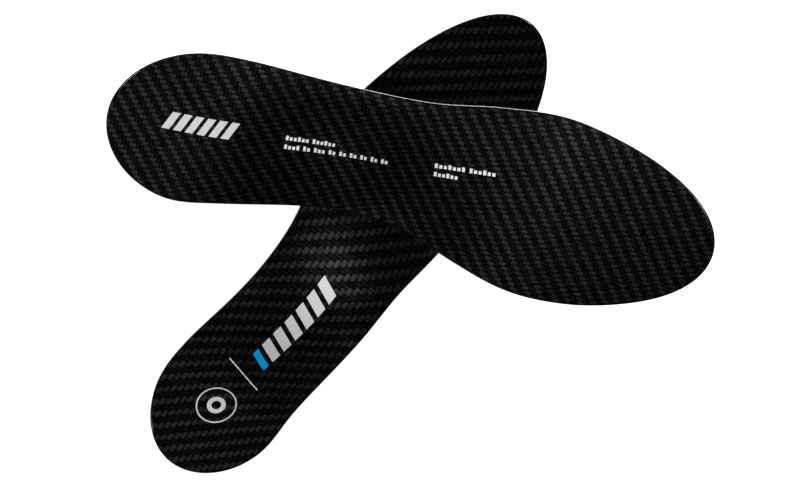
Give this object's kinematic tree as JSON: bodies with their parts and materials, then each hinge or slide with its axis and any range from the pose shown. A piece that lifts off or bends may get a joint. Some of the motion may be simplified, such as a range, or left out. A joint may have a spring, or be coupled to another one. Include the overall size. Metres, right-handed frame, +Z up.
{
  "type": "carbon fibre insole pair",
  "caption": "Pair of stiff carbon laminate insoles for orthosis use, one foot side up and the other turned over and leaning across it.",
  "frame": {"origin": "centre of the pair's footprint, on the surface that the left insole lies on", "axes": "+Z up; +X along the pair's longest side, towards the toe of the right insole; +Y towards the toe of the left insole"},
  "size_m": [0.2556, 0.2288, 0.0755],
  "materials": {
    "carbon_twill": "satin clear-coated 2x2 twill carbon fibre",
    "carbon_unidirectional": "unidirectional carbon fibre in epoxy",
    "resin": "clear grey epoxy edge seal",
    "white_ink": "screen-printed ink",
    "grey_ink": "screen-printed ink",
    "blue_ink": "screen-printed ink"
  },
  "bodies": {
    "left_insole": {"left_bottom_twill_ply": "carbon_twill", "left_lower_lengthwise_ply": "carbon_unidirectional", "left_bias_core_ply": "carbon_unidirectional", "left_upper_lengthwise_ply": "carbon_unidirectional", "left_top_twill_ply": "carbon_twill", "left_edge_seal": "resin", "left_ring_print": "grey_ink", "left_centre_print": "grey_ink", "left_divider_print": "white_ink", "left_block_print": "grey_ink", "left_accent_print": "blue_ink"},
    "right_insole": {"right_bottom_twill_ply": "carbon_twill", "right_lower_lengthwise_ply": "carbon_unidirectional", "right_bias_core_ply": "carbon_unidirectional", "right_upper_lengthwise_ply": "carbon_unidirectional", "right_top_twill_ply": "carbon_twill", "right_edge_seal": "resin", "right_block_print": "grey_ink", "right_size_line_1": "white_ink", "right_size_line_2": "white_ink", "right_note_line_1": "white_ink", "right_note_line_2": "white_ink"}
  },
  "joints": [
    {"name": "right_insole_lift", "type": "slide", "parent": "left_insole", "child": "right_insole", "axis": [0, 0, 1], "range_m": [0, 0.1]}
  ]
}
